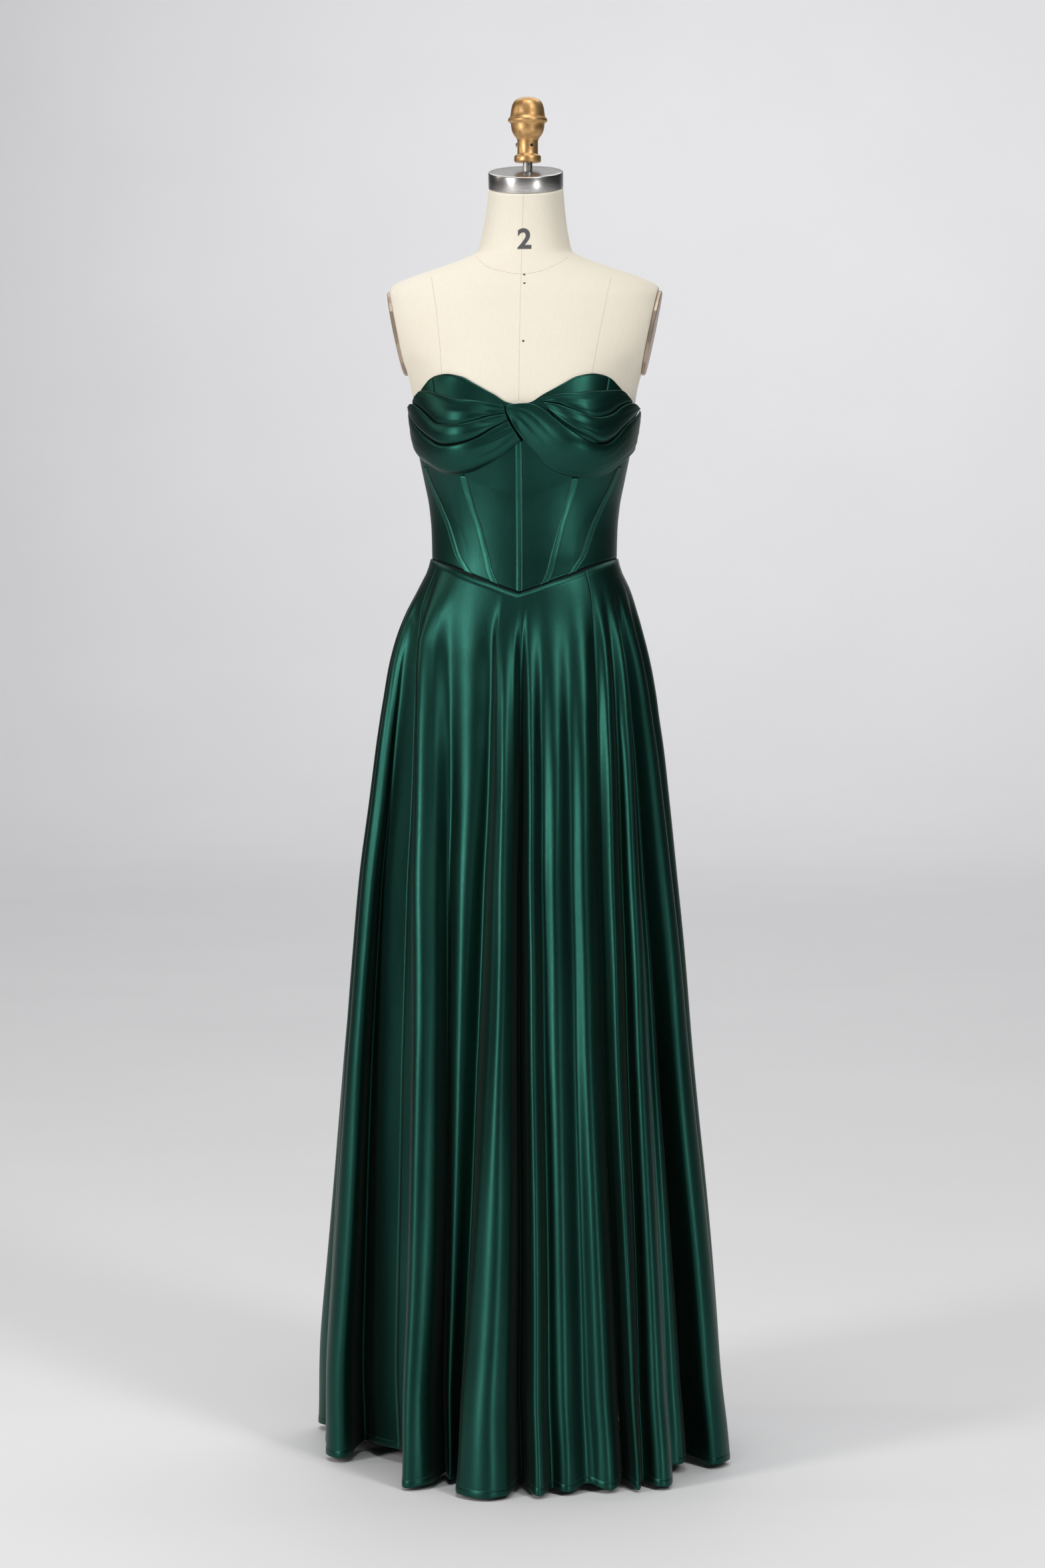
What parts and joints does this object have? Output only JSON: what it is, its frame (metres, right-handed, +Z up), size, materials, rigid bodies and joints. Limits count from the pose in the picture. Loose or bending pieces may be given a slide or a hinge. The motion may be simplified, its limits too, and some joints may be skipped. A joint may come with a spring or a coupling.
{
  "type": "corset dress on a limbless dress form",
  "caption": "Strapless floor-length satin corset dress with draped cups and a gathered skirt, on a limbless linen dress form with its stand.",
  "frame": {"origin": "on the floor, under the middle of the stand's round foot", "axes": "+Z up, -Y towards the viewer at the dress's front, +X towards the viewer's right"},
  "size_m": [0.5413, 0.5905, 1.713],
  "materials": {
    "satin": "satin",
    "linen": "matte",
    "steel": "satin",
    "plate_metal": "satin",
    "aged_gold": "satin",
    "cast_iron": "matte",
    "zip_metal": "satin"
  },
  "bodies": {
    "gown_on_form": {"bodice_front_left": "satin", "bodice_side_front_left": "satin", "bodice_side_left": "satin", "bodice_back_left": "satin", "cup_inner_left": "satin", "cup_outer_left": "satin", "bodice_front_right": "satin", "bodice_side_front_right": "satin", "bodice_side_right": "satin", "bodice_back_right": "satin", "cup_inner_right": "satin", "cup_outer_right": "satin", "drape_left": "satin", "drape_right": "satin", "drape_wrap": "satin", "channel_centre": "satin", "channel_inner_left": "satin", "channel_inner_right": "satin", "channel_outer_left": "satin", "channel_outer_right": "satin", "skirt_front": "satin", "skirt_side_left": "satin", "skirt_side_right": "satin", "skirt_back_left": "satin", "skirt_back_right": "satin", "zip_slider": "zip_metal", "form_body": "linen", "arm_plate_left": "plate_metal", "arm_plate_right": "plate_metal", "neck_cap": "steel", "knob_rod": "steel", "knob": "aged_gold", "knob_screw": "steel", "stand_pole": "steel", "stand_foot": "cast_iron"},
    "zip_pull_tab": {"zip_pull": "zip_metal"}
  },
  "joints": [
    {"name": "zip_pull_hinge", "type": "hinge", "parent": "gown_on_form", "child": "zip_pull_tab", "pos_m": [0, 0.11041, 1.30967], "axis": [1, 0, 0], "range_deg": [0, 150]}
  ]
}
